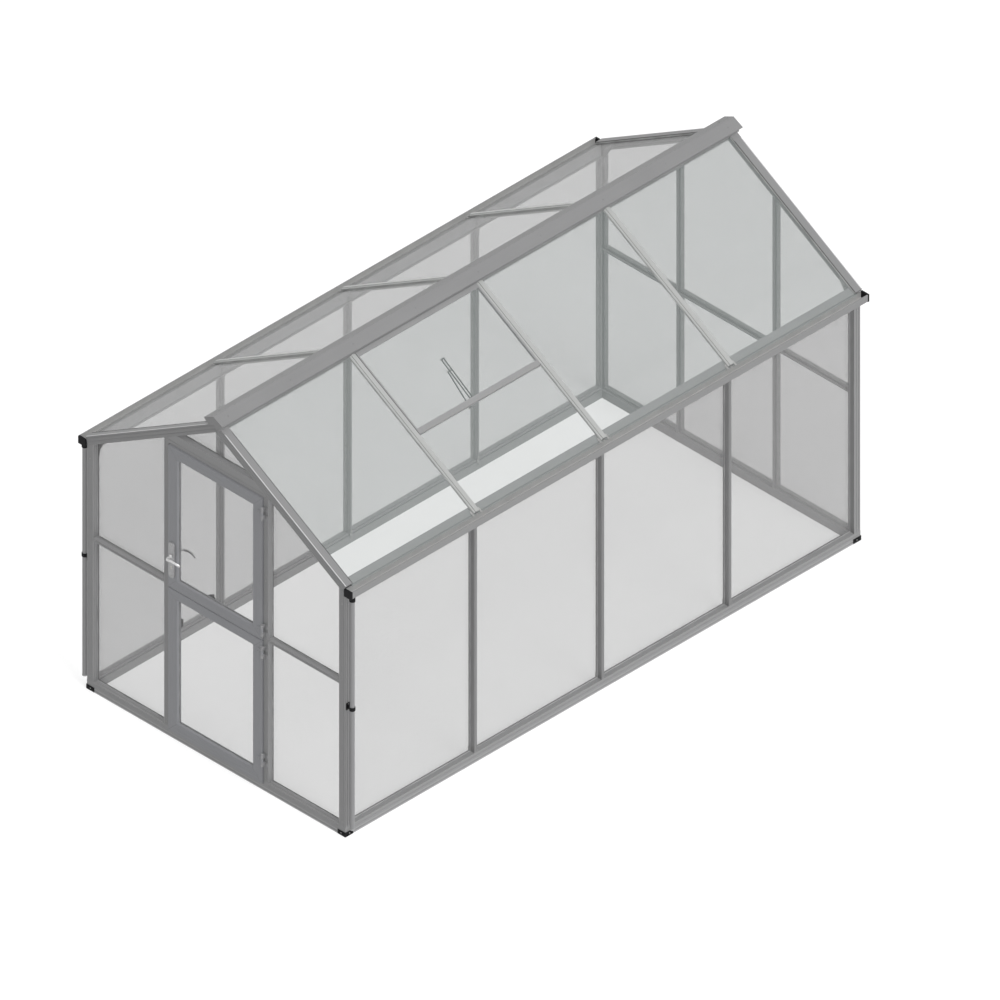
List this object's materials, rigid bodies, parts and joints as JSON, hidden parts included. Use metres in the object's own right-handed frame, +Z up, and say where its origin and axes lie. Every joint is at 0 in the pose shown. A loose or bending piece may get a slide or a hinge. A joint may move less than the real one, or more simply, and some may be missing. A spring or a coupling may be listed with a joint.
{
  "type": "glass greenhouse",
  "caption": "Gable-roofed greenhouse of aluminium bars and clear glass with a split hinged door, a roof vent, gutters and downpipes.",
  "frame": {"origin": "middle of the whole in plan, at ground level", "axes": "+Z up, +Y along the ridge from the door gable to the rear gable, +X to the side of the roof vent"},
  "size_m": [2.16, 4.16, 2.38],
  "materials": {
    "frame_aluminium": "mill finish, fine extrusion lines",
    "leaf_aluminium": "mill finish, fine extrusion lines",
    "glass": "clear, very slightly green",
    "black_plastic": "moulded, satin",
    "handle_metal": "satin",
    "fittings_metal": "zinc plated"
  },
  "bodies": {
    "frame": {"base_rail_front": "frame_aluminium", "base_rail_rear": "frame_aluminium", "base_rail_left": "frame_aluminium", "base_rail_right": "frame_aluminium", "corner_feet": "black_plastic", "corner_posts": "frame_aluminium", "wall_bars_left": "frame_aluminium", "wall_bars_right": "frame_aluminium", "eave_beam_left": "frame_aluminium", "eave_beam_right": "frame_aluminium", "gutter_left": "frame_aluminium", "gutter_right": "frame_aluminium", "gutter_end_caps": "black_plastic", "downpipe_left": "frame_aluminium", "downpipe_right": "frame_aluminium", "pipe_clips": "black_plastic", "ridge_cap": "frame_aluminium", "ridge_beam": "frame_aluminium", "roof_bars_left": "frame_aluminium", "roof_bars_right": "frame_aluminium", "rafters_front": "frame_aluminium", "rafters_rear": "frame_aluminium", "door_post_left": "frame_aluminium", "door_post_right": "frame_aluminium", "door_lintel": "frame_aluminium", "gable_mid_rails": "frame_aluminium", "rear_gable_bars": "frame_aluminium", "gusset_plates": "fittings_metal", "glass_wall_left": "glass", "glass_wall_right": "glass", "glass_front_gable": "glass", "glass_rear_gable": "glass", "glass_roof_left": "glass", "glass_roof_right": "glass", "vent_frame": "frame_aluminium", "vent_glass": "glass", "vent_sill": "frame_aluminium", "vent_stay": "fittings_metal", "door_hinges": "fittings_metal"},
    "upper_leaf": {"upper_leaf_frame": "leaf_aluminium", "upper_leaf_glass": "glass", "handle_plates": "handle_metal", "split_latch": "black_plastic"},
    "lower_leaf": {"lower_leaf_frame": "leaf_aluminium", "lower_leaf_glass": "glass", "lower_bolt": "black_plastic"},
    "lever": {"door_lever": "handle_metal"}
  },
  "joints": [
    {"name": "upper_leaf_swing", "type": "hinge", "parent": "frame", "child": "upper_leaf", "pos_m": [0.379, -2.028, 1.5], "axis": [0, 0, 1], "range_deg": [0, 150]},
    {"name": "lower_leaf_swing", "type": "hinge", "parent": "frame", "child": "lower_leaf", "pos_m": [0.379, -2.028, 0.5], "axis": [0, 0, 1], "range_deg": [0, 150]},
    {"name": "lever_turn", "type": "hinge", "parent": "upper_leaf", "child": "lever", "pos_m": [-0.338, -2.005, 1.255], "axis": [0, 1, 0], "range_deg": [0, 40], "stiffness_Nm_per_rad": 1, "springref_deg": -20.05}
  ]
}
